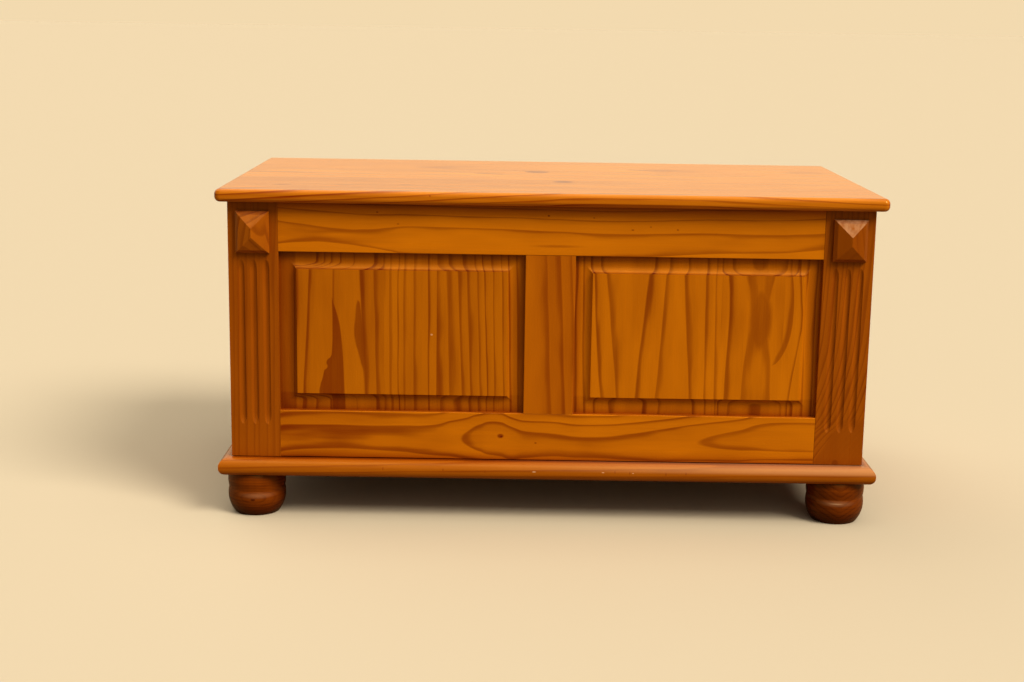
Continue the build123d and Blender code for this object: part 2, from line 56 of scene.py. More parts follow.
floor_reach = 90
floor_lighting = (0.19, 0.13, 0.055, 1)
floor_seen = (0.57, 0.46, 0.30, 1)
floor_shape = bmesh.new()
bmesh.ops.create_grid(floor_shape, x_segments=1, y_segments=1, size=floor_reach)
floor_mesh = bpy.data.meshes.new("floor")
floor_shape.to_mesh(floor_mesh)
floor_shape.free()
floor = bpy.data.objects.new("floor", floor_mesh)
bpy.context.scene.collection.objects.link(floor)
floor_paint = bpy.data.materials.new("pale_floor")
floor_paint.use_nodes = True
tree = floor_paint.node_tree
shader = tree.nodes["Principled BSDF"]
rays = tree.nodes.new("ShaderNodeLightPath")
floor_colour = blend_colour(tree, "MIX", rays.outputs["Is Camera Ray"], floor_lighting, floor_seen)
tree.links.new(floor_colour, shader.inputs["Base Color"])
shader.inputs["Roughness"].default_value = 0.9
shader.inputs["Specular IOR Level"].default_value = 0.05
floor_mesh.materials.append(floor_paint)

lamp_colour = (1.0, 0.97, 0.92)
world = bpy.data.worlds.new("room")
bpy.context.scene.world = world
world.use_nodes = True
air = world.node_tree
air.nodes.clear()
rays = air.nodes.new("ShaderNodeLightPath")
seen = work_out(air, "MAXIMUM", rays.outputs["Is Camera Ray"], rays.outputs["Is Glossy Ray"])
seen = work_out(air, "MAXIMUM", seen, rays.outputs["Is Transmission Ray"])
daylight = air.nodes.new("ShaderNodeBackground")
daylight.inputs["Color"].default_value = (*lamp_colour, 1)
daylight.inputs["Strength"].default_value = 0.12
toward = air.nodes.new("ShaderNodeTexCoord")
direction = air.nodes.new("ShaderNodeSeparateXYZ")
air.links.new(toward.outputs["Generated"], direction.inputs[0])
front_to_back = air.nodes.new("ShaderNodeMapRange")
front_to_back.inputs["From Min"].default_value = -0.5
front_to_back.inputs["From Max"].default_value = 0.5
front_to_back.inputs["To Min"].default_value = 0.3
front_to_back.inputs["To Max"].default_value = 1.0
air.links.new(direction.outputs["Y"], front_to_back.inputs["Value"])
wall_strength = work_out(air, "MAXIMUM", front_to_back.outputs["Result"], rays.outputs["Is Camera Ray"])
wall = air.nodes.new("ShaderNodeBackground")
wall.inputs["Color"].default_value = (0.895, 0.70, 0.43, 1)
air.links.new(wall_strength, wall.inputs["Strength"])
choose = air.nodes.new("ShaderNodeMixShader")
air.links.new(seen, choose.inputs["Fac"])
air.links.new(daylight.outputs[0], choose.inputs[1])
air.links.new(wall.outputs[0], choose.inputs[2])
sky = air.nodes.new("ShaderNodeOutputWorld")
air.links.new(choose.outputs[0], sky.inputs["Surface"])

for name, bearing, elevation, width, power in (
    ("light_front", 50, 43, 26, 3.1),
    ("light_beside", 12, 35, 60, 0.55),
    ("light_above", 0, 84, 60, 1.6),
    ("light_back", 225, 42, 60, 0.8),
):
    lamp = bpy.data.lights.new(name, "SUN")
    lamp.energy = power
    lamp.angle = math.radians(width)
    lamp.color = lamp_colour
    holder = bpy.data.objects.new(name, lamp)
    holder.rotation_euler = (math.radians(90 - elevation), 0, math.radians(bearing))
    bpy.context.scene.collection.objects.link(holder)

camera_place = (-0.0515, -2.4526, 0.7097)
camera_pitch = 11.415
camera_yaw = 0.023
camera_roll = 0.882
camera_data = bpy.data.cameras.new("camera")
camera_data.sensor_width = 36.0
camera_data.lens = 56.62
camera = bpy.data.objects.new("camera", camera_data)
camera.matrix_world = (
    Matrix.Translation(camera_place)
    @ Matrix.Rotation(math.radians(camera_yaw), 4, "Z")
    @ Matrix.Rotation(math.radians(90 - camera_pitch), 4, "X")
    @ Matrix.Rotation(math.radians(camera_roll), 4, "Z")
)
bpy.context.scene.collection.objects.link(camera)
bpy.context.scene.camera = camera
bpy.context.scene.view_settings.view_transform = "Standard"


# ---- Feet: four turned buns of pine with a bead over a groove, the grain upright.
# They are stained darker than the boards and dowelled up into the plinth's corners.


def rise(tree, value, start, end):
    """0 before start, 1 after end, and smooth between them."""
    step = tree.nodes.new("ShaderNodeMapRange")
    step.interpolation_type = "SMOOTHSTEP"
    feed(tree, step.inputs["Value"], value)
    feed(tree, step.inputs["From Min"], start)
    feed(tree, step.inputs["From Max"], end)
    return step.outputs["Result"]


def grain_noise(tree, vector, seed, along, across, detail=2.0):
    """Noise drawn out along the grain; along and across are its lengths in millimetres."""
    stretch = tree.nodes.new("ShaderNodeVectorMath")
    stretch.operation = "MULTIPLY"
    feed(tree, stretch.inputs[0], vector)
    stretch.inputs[1].default_value = (1 / along, 1 / across, 1 / across)
    noise = tree.nodes.new("ShaderNodeTexNoise")
    noise.noise_dimensions = "4D"
    tree.links.new(stretch.outputs[0], noise.inputs["Vector"])
    feed(tree, noise.inputs["W"], seed)
    noise.inputs["Scale"].default_value = 1.0
    noise.inputs["Detail"].default_value = detail
    return noise


def start_group(name, inputs, outputs):
    """A shader node group with its named sockets."""
    group = bpy.data.node_groups.new(name, "ShaderNodeTree")
    for label, kind, value in inputs:
        socket = group.interface.new_socket(label, in_out="INPUT", socket_type="NodeSocket" + kind)
        if value is not None:
            socket.default_value = value
    for label, kind in outputs:
        group.interface.new_socket(label, in_out="OUTPUT", socket_type="NodeSocket" + kind)
    given = group.nodes.new("NodeGroupInput").outputs
    result = group.nodes.new("NodeGroupOutput").inputs
    return group, given, result


def use_group(tree, group, values):
    """Places a group in a material with its own values."""
    node = tree.nodes.new("ShaderNodeGroup")
    node.node_tree = group
    for label, value in values.items():
        feed(tree, node.inputs[label], value)
    return node.outputs


# Growth rings round the tree's heart: how far each point of the board is from it, in millimetres.
growth, given, result = start_group(
    "growth_rings",
    [
        ("Board", "Vector", None),
        ("Heart Across", "Float", 0.0),
        ("Heart Out", "Float", -60.0),
        ("Lean Across", "Float", 0.0),
        ("Lean Out", "Float", 0.0),
        ("Waver", "Float", 4.0),
        ("Seed", "Float", 0.0),
    ],
    [("Radius", "Float")],
)
split = growth.nodes.new("ShaderNodeSeparateXYZ")
growth.links.new(given["Board"], split.inputs[0])
along, across, out = split.outputs
sway = growth.nodes.new("ShaderNodeSeparateColor")
slow = grain_noise(growth, given["Board"], given["Seed"], along=260, across=70, detail=3.0)
growth.links.new(slow.outputs["Color"], sway.inputs[0])
sides = []
for place, heart, lean, push in (
    (across, "Heart Across", "Lean Across", sway.outputs[0]),
    (out, "Heart Out", "Lean Out", sway.outputs[1]),
):
    middle = work_out(growth, "MULTIPLY_ADD", along, given[lean], given[heart])
    shift = work_out(growth, "MULTIPLY", work_out(growth, "SUBTRACT", push, 0.5), given["Waver"])
    sides.append(work_out(growth, "ADD", work_out(growth, "SUBTRACT", place, middle), shift))
squares = [work_out(growth, "MULTIPLY", side, side) for side in sides]
growth.links.new(work_out(growth, "SQRT", work_out(growth, "ADD", *squares)), result["Radius"])

# Late wood: each year's ring darkens towards its outer edge and stops there sharply. The dark part
# swells and thins along the board, and some years are fainter than others.
years, given, result = start_group(
    "year_lines",
    [
        ("Board", "Vector", None),
        ("Radius", "Float", 0.0),
        ("First Edge", "Float", 50.0),
        ("Ring Width", "Float", 8.0),
        ("Dark Share", "Float", 0.3),
        ("Uneven", "Float", 0.0),
        ("Seed", "Float", 0.0),
    ],
    [("Late", "Float"), ("Year Tone", "Float")],
)
past = work_out(years, "SUBTRACT", given["Radius"], given["First Edge"])
count = work_out(years, "DIVIDE", past, given["Ring Width"])
drift = years.nodes.new("ShaderNodeTexNoise")
drift.noise_dimensions = "1D"
drift.inputs["Scale"].default_value = 0.35
drift.inputs["Detail"].default_value = 1.0
years.links.new(work_out(years, "ADD", count, given["Seed"]), drift.inputs["W"])
unsure = work_out(years, "MULTIPLY", work_out(years, "SUBTRACT", drift.outputs[0], 0.5), given["Uneven"])
count = work_out(years, "ADD", count, unsure)
swell_seed = work_out(years, "ADD", given["Seed"], 9.0)
swell = grain_noise(years, given["Board"], swell_seed, along=90, across=16, detail=1.0).outputs["Fac"]
swell = rise(years, swell, 0.25, 0.75)
part = work_out(years, "FRACT", count)
share = work_out(years, "MULTIPLY", given["Dark Share"], work_out(years, "MULTIPLY_ADD", swell, 0.9, 0.6))
start = work_out(years, "SUBTRACT", 1.0, share)
peak = work_out(years, "MULTIPLY_ADD", share, -0.35, 1.0)
fade_start = work_out(years, "MULTIPLY_ADD", share, -0.22, 1.0)
fade = work_out(years, "SUBTRACT", 1.0, rise(years, part, fade_start, 1.0))
dusk = work_out(years, "MULTIPLY_ADD", share, -2.6, 1.0)
dusk = work_out(years, "MULTIPLY", rise(years, part, dusk, peak), 0.24)
dark = work_out(years, "MULTIPLY_ADD", rise(years, part, start, peak), 0.62, dusk)
dark = work_out(years, "MULTIPLY", dark, fade)
year = work_out(years, "ADD", work_out(years, "FLOOR", count), given["Seed"])
luck = years.nodes.new("ShaderNodeTexWhiteNoise")
luck.noise_dimensions = "1D"
years.links.new(year, luck.inputs["W"])
luck = luck.outputs["Value"]
strength = work_out(years, "MULTIPLY_ADD", luck, 0.3, work_out(years, "MULTIPLY_ADD", swell, 0.2, 0.6))
years.links.new(work_out(years, "MULTIPLY", dark, strength), result["Late"])
years.links.new(work_out(years, "FRACT", work_out(years, "MULTIPLY", luck, 37.0)), result["Year Tone"])

# Fibre: fine streaks along the grain, short dark resin ducts, and slow clouding where the stain took
# unevenly.
fibre, given, result = start_group(
    "fibre",
    [("Board", "Vector", None), ("Seed", "Float", 0.0)],
    [("Streak", "Float"), ("Duct", "Float"), ("Cloud", "Float")],
)
fine = grain_noise(fibre, given["Board"], given["Seed"], along=70, across=0.9, detail=3.0).outputs["Fac"]
broad = grain_noise(fibre, given["Board"], given["Seed"], along=240, across=5.0, detail=2.0).outputs["Fac"]
streak = work_out(fibre, "MULTIPLY_ADD", fine, 0.55, work_out(fibre, "MULTIPLY", broad, 0.45))
fibre.links.new(streak, result["Streak"])
duct_seed = work_out(fibre, "ADD", given["Seed"], 5.0)
ducts = grain_noise(fibre, given["Board"], duct_seed, along=5.5, across=1.1, detail=0.0).outputs["Fac"]
fibre.links.new(rise(fibre, ducts, 0.80, 0.90), result["Duct"])
cloud = grain_noise(fibre, given["Board"], given["Seed"], along=150, across=38, detail=2.0).outputs["Fac"]
fibre.links.new(cloud, result["Cloud"])

# Stained pine: the colour, gloss and relief that these give, darker on end grain and paler on worn
# arrises. The stain gathers in hollows, and the hollows, corners and parts under the lid are also darkened
# as painted shade.
stained, given, result = start_group(
    "stained_pine",
    [
        ("Early Wood", "Color", (0.5, 0.13, 0.002, 1)),
        ("Late Wood", "Color", (0.27, 0.045, 0.002, 1)),
        ("Late", "Float", 0.0),
        ("Year Tone", "Float", 0.5),
        ("Streak", "Float", 0.5),
        ("Duct", "Float", 0.0),
        ("Cloud", "Float", 0.5),
        ("End Grain", "Float", 0.0),
        ("Arris", "Float", 0.0),
        ("Hollow Stain And Shade", "Float", 0.0),
        ("Scrape And Highlight", "Float", 0.0),
        ("Dullness", "Float", 0.24),
    ],
    [("Color", "Color"), ("Roughness", "Float"), ("Relief", "Float")],
)
ducts = work_out(stained, "MULTIPLY", given["Duct"], 0.35)
depth = work_out(stained, "MULTIPLY_ADD", given["Late"], 0.92, ducts)
depth = work_out(stained, "ADD", depth, work_out(stained, "MULTIPLY", given["Year Tone"], 0.06))
streaky = work_out(stained, "MULTIPLY", work_out(stained, "SUBTRACT", given["Streak"], 0.5), 0.5)
depth = work_out(stained, "ADD", depth, streaky)
cloudy = work_out(stained, "MULTIPLY", work_out(stained, "SUBTRACT", given["Cloud"], 0.5), 0.7)
depth = work_out(stained, "ADD", depth, cloudy)
depth = work_out(stained, "MULTIPLY_ADD", given["End Grain"], 0.8, depth)
depth = work_out(stained, "SUBTRACT", depth, work_out(stained, "MULTIPLY", given["Arris"], 0.35))
depth = work_out(stained, "MINIMUM", work_out(stained, "MAXIMUM", depth, -0.25), 1.3)
# The colour laid over hollows: pooled stain and painted shade.
pooled_stain_and_shade = (0.50, 0.26, 0.16, 1)
# Paler wood for real scrapes and nicks, and for painted highlights.
scraped_wood_and_highlight = (0.80, 0.46, 0.22, 1)
colour = blend_colour(stained, "MIX", depth, given["Early Wood"], given["Late Wood"])
colour = blend_colour(stained, "MULTIPLY", given["Hollow Stain And Shade"], colour, pooled_stain_and_shade)
colour = blend_colour(stained, "MIX", given["Scrape And Highlight"], colour, scraped_wood_and_highlight)
stained.links.new(colour, result["Color"])
gloss = work_out(stained, "MULTIPLY_ADD", given["Streak"], 0.08, given["Dullness"])
stained.links.new(work_out(stained, "MULTIPLY_ADD", given["End Grain"], 0.15, gloss), result["Roughness"])
height = work_out(stained, "MULTIPLY", given["Streak"], 0.5)
height = work_out(stained, "MULTIPLY_ADD", given["Late"], 0.5, height)
height = work_out(stained, "SUBTRACT", height, work_out(stained, "MULTIPLY", given["Duct"], 0.5))
stained.links.new(height, result["Relief"])

# A knot, speck, nick, smudge or painted highlight: 1 inside an oval patch of the board and 0 outside it.
patch, given, result = start_group(
    "small_mark",
    [
        ("Board", "Vector", None),
        ("Middle", "Vector", None),
        ("Half Size", "Vector", None),
        ("Soft", "Float", 0.5),
    ],
    [("Mask", "Float")],
)
offset = patch.nodes.new("ShaderNodeVectorMath")
offset.operation = "SUBTRACT"
patch.links.new(given["Board"], offset.inputs[0])
patch.links.new(given["Middle"], offset.inputs[1])
scaled = patch.nodes.new("ShaderNodeVectorMath")
scaled.operation = "DIVIDE"
patch.links.new(offset.outputs[0], scaled.inputs[0])
patch.links.new(given["Half Size"], scaled.inputs[1])
reach = patch.nodes.new("ShaderNodeVectorMath")
reach.operation = "LENGTH"
patch.links.new(scaled.outputs[0], reach.inputs[0])
edge = rise(patch, reach.outputs["Value"], work_out(patch, "SUBTRACT", 1.0, given["Soft"]), 1.0)
patch.links.new(work_out(patch, "SUBTRACT", 1.0, edge), result["Mask"])


def marks(tree, board, *spots):
    """The darkest of several marks, each a middle, half sizes, softness and strength."""
    total = 0.0
    for middle, half_size, soft, strength in spots:
        shape = {"Board": board, "Middle": middle, "Half Size": half_size, "Soft": soft}
        spot = use_group(tree, patch, shape)
        total = work_out(tree, "MAXIMUM", total, work_out(tree, "MULTIPLY", spot["Mask"], strength))
    return total


def add_marks(tree, board, late, *spots):
    """Late wood with knots and specks laid over it."""
    return work_out(tree, "MAXIMUM", late, marks(tree, board, *spots))


def shade(tree, late, mask, amount):
    """Darkens the wood where the mask is 1; a negative amount lightens it."""
    return work_out(tree, "MULTIPLY_ADD", mask, amount, late)


def start_board(name, along, across, middle):
    """A wood finish, its node tree, and the board's own millimetres in it: along its grain, across it,
    and out of its show face."""
    wood = bpy.data.materials.new(name)
    wood.use_nodes = True
    tree = wood.node_tree
    along, across = Vector(along), Vector(across)
    turn = Matrix((along, across, along.cross(across)))
    board = tree.nodes.new("ShaderNodeMapping")
    millimetres = 1000
    board.inputs["Scale"].default_value = (millimetres, millimetres, millimetres)
    board.inputs["Rotation"].default_value = turn.to_euler()
    board.inputs["Location"].default_value = -(turn @ (Vector(middle) * millimetres))
    where = tree.nodes.new("ShaderNodeTexCoord")
    tree.links.new(where.outputs["Object"], board.inputs["Vector"])
    return wood, tree, board.outputs[0]


def part_of(tree, board, which):
    """One of the board's own millimetres: along, across or out."""
    split = tree.nodes.new("ShaderNodeSeparateXYZ")
    tree.links.new(board, split.inputs[0])
    return split.outputs[("along", "across", "out").index(which)]


def facing(tree, normal, direction):
    """How far a surface looks in a direction: 1 straight along it, -1 straight against it."""
    turned = tree.nodes.new("ShaderNodeVectorMath")
    turned.operation = "DOT_PRODUCT"
    feed(tree, turned.inputs[0], normal)
    feed(tree, turned.inputs[1], direction)
    return turned.outputs["Value"]


def year_marks(tree, board, radius, edge, width, share, seed, uneven=0.0, darker=0.0):
    """Late wood and tone from how far each point is from the heart."""
    lines = use_group(
        tree,
        years,
        {
            "Board": board,
            "Radius": radius,
            "First Edge": edge,
            "Ring Width": width,
            "Dark Share": share,
            "Uneven": uneven,
            "Seed": seed,
        },
    )
    return lines["Late"], work_out(tree, "ADD", lines["Year Tone"], darker)


def ring_lines(tree, board, heart, lean, waver, edge, width, share, seed, uneven=0.0, darker=0.0):
    """One stave's growth rings, as its late wood and the tone of each year."""
    rings = use_group(
        tree,
        growth,
        {
            "Board": board,
            "Heart Across": heart[0],
            "Heart Out": heart[1],
            "Lean Across": lean[0],
            "Lean Out": lean[1],
            "Waver": waver,
            "Seed": seed,
        },
    )
    return year_marks(tree, board, rings["Radius"], edge, width, share, seed, uneven, darker)


def finish_pine(
    wood,
    board,
    grain,
    late,
    tone,
    seed,
    early_wood,
    late_wood,
    wear=0.5,
    relief=0.35,
    scrape_and_highlight=0.0,
    dull=0.24,
    stain_and_shade_gather=0.9,
):
    """Stain and lacquer over the grain, with end grain and arrises picked out."""
    tree = wood.node_tree
    shader = tree.nodes["Principled BSDF"]
    detail = use_group(tree, fibre, {"Board": board, "Seed": seed})
    where = tree.nodes.new("ShaderNodeTexCoord")
    end_grain = work_out(tree, "ABSOLUTE", facing(tree, where.outputs["Normal"], grain))
    end_grain = rise(tree, end_grain, 0.55, 0.95)
    rounded = tree.nodes.new("ShaderNodeBevel")
    rounded.samples = 4
    rounded.inputs["Radius"].default_value = 0.0016
    surface = tree.nodes.new("ShaderNodeNewGeometry")
    flatness = facing(tree, rounded.outputs["Normal"], surface.outputs["Normal"])
    arris = rise(tree, work_out(tree, "SUBTRACT", 1.0, flatness), 0.01, 0.12)
    arris = work_out(tree, "MULTIPLY", arris, work_out(tree, "MULTIPLY", detail["Cloud"], wear * 2))
    # Painted shade: ambient occlusion darkens coves, corners beside other pieces and the rail under the lid,
    # partly as pooled stain and partly as painted shade.
    recess = tree.nodes.new("ShaderNodeAmbientOcclusion")
    recess.samples = 8
    recess.inputs["Distance"].default_value = 0.018
    hollow_stain_and_shade = rise(tree, work_out(tree, "SUBTRACT", 1.0, recess.outputs["AO"]), 0.03, 0.45)
    hollow_stain_and_shade = work_out(tree, "MULTIPLY", hollow_stain_and_shade, stain_and_shade_gather)
    skin = use_group(
        tree,
        stained,
        {
            "Early Wood": early_wood,
            "Late Wood": late_wood,
            "Late": late,
            "Year Tone": tone,
            "Streak": detail["Streak"],
            "Duct": detail["Duct"],
            "Cloud": detail["Cloud"],
            "End Grain": end_grain,
            "Arris": arris,
            "Hollow Stain And Shade": hollow_stain_and_shade,
            "Scrape And Highlight": scrape_and_highlight,
            "Dullness": dull,
        },
    )
    tree.links.new(skin["Color"], shader.inputs["Base Color"])
    tree.links.new(skin["Roughness"], shader.inputs["Roughness"])
    bump = tree.nodes.new("ShaderNodeBump")
    bump.inputs["Strength"].default_value = relief
    bump.inputs["Distance"].default_value = 0.0004
    tree.links.new(skin["Relief"], bump.inputs["Height"])
    tree.links.new(bump.outputs["Normal"], shader.inputs["Normal"])
    shader.inputs["IOR"].default_value = 1.45
    shader.inputs["Specular Tint"].default_value = (1.0, 0.60, 0.15, 1)


def cover(wood, *names):
    """Puts a finish on pieces that keep their made shape."""
    for name in names:
        for place in nodes[name].material_slots:
            place.material = wood


foot_early = (0.20, 0.034, 0.001, 1)
foot_late = (0.075, 0.009, 0.0006, 1)
upright = (0, 0, 1)
to_left = (-1, 0, 0)
# Each foot's place, its tree's heart or else how its nested years stretch, start and slope, how deep its
# late wood is, its knot, where a highlight is painted on its lacquer, and the strengths of that painted
# glint and of a broad painted shine.
for number, (name, x, y, heart, nest, depth, knot, highlight_middle, painted_glint, broad) in enumerate(
    (
        ("front_left", -0.419, -0.202, None, (6.0, 20.0, 0.6), 0.4,
         (-4.0, 0.2, 41), (2.0, -6, 40), 0.12, 0.12),
        ("front_right", 0.419, -0.202, None, (0.0, 10.0, -1.47), 0.5,
         (-26.0, 30, 20), (2.9, 5.5, 41), 0.42, 0.14),
        ("back_left", -0.419, 0.187, (40, 22), None, 0.7,
         (0.0, -30, -28), (3.0, 0, -41), 0.3, 0.15),
        ("back_right", 0.419, 0.187, (-35, 30), None, 0.7,
         (-10.0, 34, -20), (3.0, 0, -41), 0.3, 0.15),
    )
):
    foot_seed = 3.1 + number
    turned_pine, tree, board = start_board(f"pine_foot_{name}", upright, to_left, (x, y, 0.03))
    if heart:
        late, tone = ring_lines(
            tree, board, heart, (0.1, 0.1), waver=3.0, edge=10.0, width=9.0, share=0.5, seed=foot_seed
        )
    else:
        # The heart leans out at the front of this foot, so its years show as ovals or V shapes.
        stretch, start, slope = nest
        height = part_of(tree, board, "along")
        across = part_of(tree, board, "across")
        rounding = work_out(tree, "MULTIPLY", height, height)
        rounding = work_out(tree, "MULTIPLY_ADD", rounding, stretch, start)
        spread = work_out(tree, "SQRT", work_out(tree, "MULTIPLY_ADD", across, across, rounding))
        sway = grain_noise(tree, board, 5.0, along=30, across=20, detail=2.0).outputs["Fac"]
        nested = work_out(tree, "MULTIPLY_ADD", height, slope, spread)
        nested = work_out(tree, "MULTIPLY_ADD", sway, 7.0, nested)
        late, tone = year_marks(
            tree, board, nested, edge=0.5, width=11.5, share=0.5, seed=foot_seed, uneven=0.6
        )
    late = work_out(tree, "MULTIPLY", late, depth)
    # Turning leaves faint rings round the foot, and its lower part is darkened as painted shade.
    turning = grain_noise(tree, board, foot_seed, along=3.4, across=130, detail=2.0).outputs["Fac"]
    late = shade(tree, late, rise(tree, turning, 0.36, 0.68), 0.45)
    late = shade(tree, late, rise(tree, part_of(tree, board, "along"), 0, -14), 0.32)
    late = add_marks(tree, board, late, (knot, (3.0, 5.0, 14), 0.7, 1.15))
    # Painted highlight: a thin glint and a broad shine are painted paler where the lacquer would catch the
    # light.
    pale_marks_and_highlight = marks(tree, board, (highlight_middle, (1.6, 17, 22), 0.9, painted_glint), (highlight_middle, (6.0, 36, 34), 1.0, broad))
    finish_pine(
        turned_pine, board, upright, late, tone, foot_seed, foot_early, foot_late, scrape_and_highlight=pale_marks_and_highlight, dull=0.19
    )
    cover(turned_pine, f"foot_{name}")


# ---- Plinth: four pine boards on the flat, stained and lacquered, those at the front and sides with rounded
# edges. They are dowelled together, mitred in front and butted at the back, and screwed to the sides and
# back. The grain runs along each board; the front nosing has small knocks, and a painted highlight pales
# its upper edge towards the right.

plinth_early = (0.405, 0.095, 0.002, 1)
plinth_late = (0.24, 0.038, 0.001, 1)
for number, (name, along, across, middle, heart, lean) in enumerate(
    (
        ("plinth_front", (1, 0, 0), (0, 1, 0), (0, -0.2025, 0.0745), (-30, -70), (0.03, 0.03)),
        ("plinth_back", (1, 0, 0), (0, 1, 0), (0, 0.1900, 0.0745), (25, -50), (0.02, 0.02)),
        ("plinth_left", (0, -1, 0), (1, 0, 0), (-0.4195, 0, 0.0745), (20, -60), (0.02, 0.02)),
        ("plinth_right", (0, 1, 0), (-1, 0, 0), (0.4195, 0, 0.0745), (35, -45), (-0.02, 0.02)),
    )
):
    plinth_seed = 11.7 + number
    plinth_pine, tree, board = start_board(f"pine_{name}", along, across, middle)
    late, tone = ring_lines(
        tree, board, heart, lean, waver=6.0, edge=50.0, width=9.0, share=0.35, seed=plinth_seed
    )
    late = work_out(tree, "MULTIPLY", late, 0.8)
    pale_marks_and_highlight = 0.0
    if name == "plinth_front":
        nose = -47
        ticks = [
            ((x, nose, z), (0.9, 9, 3.2), 0.5, 0.9)
            for x, z in (
                (-232.7, 3), (-147.5, 2), (-87.9, 1), (96.5, 3), (117.8, 2), (168.9, 1), (197.3, 2)
            )
        ]
        late = add_marks(tree, board, late, *ticks)
        nicks = marks(
            tree,
            board,
            ((-18.3, nose, 1.5), (3.4, 9, 1.0), 0.5, 0.75),
            ((79.6, nose, 2.0), (2.4, 9, 0.8), 0.5, 0.7),
            ((122.2, nose, 1.5), (1.6, 9, 0.8), 0.5, 0.6),
        )
        # Painted highlight: the upper nosing is paler towards the right, where light glances off it.
        painted_nose_highlight = work_out(tree, "MULTIPLY", rise(tree, part_of(tree, board, "along"), -150.0, 420.0), 0.22)
        painted_nose_highlight = work_out(tree, "MULTIPLY", painted_nose_highlight, rise(tree, part_of(tree, board, "out"), 0.0, 6.0))
        pale_marks_and_highlight = work_out(tree, "MAXIMUM", nicks, painted_nose_highlight)
    finish_pine(
        plinth_pine, board, along, late, tone, plinth_seed, plinth_early, plinth_late, scrape_and_highlight=pale_marks_and_highlight,
        dull=0.19,
    )
    cover(plinth_pine, name)


# ---- Sides and back: pine boards glued edge to edge into wide panels, stained and lacquered outside and
# unstained inside. The sides are dowelled to the front stiles and to the back.


def glued_staves(tree, board, width, seed, aside=0.0):
    """Each stave of a glued-up panel: its own heart across and out, a lot drawn for it, and its seed."""
    first_seam = 17.0 * seed
    across = part_of(tree, board, "across")
    stave = work_out(tree, "DIVIDE", work_out(tree, "ADD", across, first_seam), width)
    stave = work_out(tree, "FLOOR", stave)
    stave_seed = work_out(tree, "ADD", stave, seed)
    draw = tree.nodes.new("ShaderNodeTexWhiteNoise")
    draw.noise_dimensions = "1D"
    tree.links.new(stave_seed, draw.inputs["W"])
    lots = tree.nodes.new("ShaderNodeSeparateColor")
    tree.links.new(draw.outputs["Color"], lots.inputs[0])
    middle = work_out(tree, "MULTIPLY", work_out(tree, "ADD", stave, 0.5 + aside), width)
    middle = work_out(tree, "SUBTRACT", middle, first_seam)
    heart_across = work_out(tree, "SUBTRACT", lots.outputs[0], 0.5)
    heart_across = work_out(tree, "MULTIPLY_ADD", heart_across, 1.4 * width, middle)
    heart_out = work_out(tree, "MULTIPLY_ADD", lots.outputs[1], 60.0, -110.0)
    return heart_across, heart_out, lots.outputs[2], stave_seed


side_early = (0.48, 0.115, 0.003, 1)
side_late = (0.24, 0.036, 0.0008, 1)
bare_early = (0.72, 0.47, 0.24, 1)
bare_late = (0.50, 0.26, 0.10, 1)


def looking(tree, direction, low, high):
    """One on the faces of a board that look in a direction, for a side unstained, stained darker or darkened
    as painted shade.
    """
    where = tree.nodes.new("ShaderNodeTexCoord")
    return rise(tree, facing(tree, where.outputs["Normal"], direction), low, high)


for number, (name, along, across, middle, inward) in enumerate(
    (
        ("side_board_left", (0, -1, 0), (0, 0, 1), (-0.450, 0, 0.27), (1, 0, 0)),
        ("side_board_right", (0, 1, 0), (0, 0, 1), (0.450, 0, 0.27), (-1, 0, 0)),
        ("back_board", (-1, 0, 0), (0, 0, 1), (0, 0.235, 0.27), (0, -1, 0)),
    )
):
    side_seed = 21.3 + number
    side_pine, tree, board = start_board(f"pine_{name}", along, across, middle)
    heart_across, heart_out, _, seed = glued_staves(tree, board, width=92.0, seed=side_seed)
    late, tone = ring_lines(
        tree, board, (heart_across, heart_out), (0.0, 0.02), waver=9.0, edge=50.0, width=9.0,
        share=0.34, seed=seed, uneven=0.6,
    )
    inside = looking(tree, inward, 0.7, 0.9)
    early = blend_colour(tree, "MIX", inside, side_early, bare_early)
    dark = blend_colour(tree, "MIX", inside, side_late, bare_late)
    finish_pine(side_pine, board, along, late, tone, side_seed, early, dark)
    cover(side_pine, name)


# ---- Bottom: a sheet of plywood with a plain birch face, unstained. It lies loose on the plinth, inside
# the carcass boards.

ply_early = (0.66, 0.46, 0.27, 1)
ply_late = (0.48, 0.28, 0.13, 1)
ply_seed = 31.0
left_to_right = (1, 0, 0)
to_back = (0, 1, 0)
ply, tree, board = start_board("birch_plywood", left_to_right, to_back, (0, 0, 0.0985))
late, tone = ring_lines(
    tree, board, (60, -210), (0.02, 0.08), waver=30.0, edge=50.0, width=5.0, share=0.5, seed=ply_seed,
    uneven=1.5,
)
late = work_out(tree, "MULTIPLY", late, 0.5)
finish_pine(ply, board, left_to_right, late, tone, ply_seed, ply_early, ply_late, wear=0.0)
cover(ply, "bottom_board")


# ---- Front frame: two stiles, two rails and a muntin of pine, planed flush, stained and lacquered. The
# rails are dowelled between the stiles, and the muntin has stub tenons in the rails' grooves.

front = -0.230
frame_early = (0.59, 0.154, 0.001, 1)
frame_late = (0.24, 0.036, 0.0003, 1)


def bend_along(tree, value, points):
    """A smooth run through the given (place, amount) pairs."""
    low, high = points[0][0], points[-1][0]
    least = min(amount for place, amount in points)
    most = max(amount for place, amount in points)
    share = tree.nodes.new("ShaderNodeMapRange")
    feed(tree, share.inputs["Value"], value)
    share.inputs["From Min"].default_value = low
    share.inputs["From Max"].default_value = high
    bend = tree.nodes.new("ShaderNodeFloatCurve")
    curve = bend.mapping.curves[0]
    levels = [((place - low) / (high - low), (amount - least) / (most - least)) for place, amount in points]
    curve.points[0].location = levels[0]
    curve.points[1].location = levels[-1]
    for level in levels[1:-1]:
        curve.points.new(*level)
    bend.mapping.update()
    tree.links.new(share.outputs["Result"], bend.inputs["Value"])
    return work_out(tree, "MULTIPLY_ADD", bend.outputs[0], most - least, least)


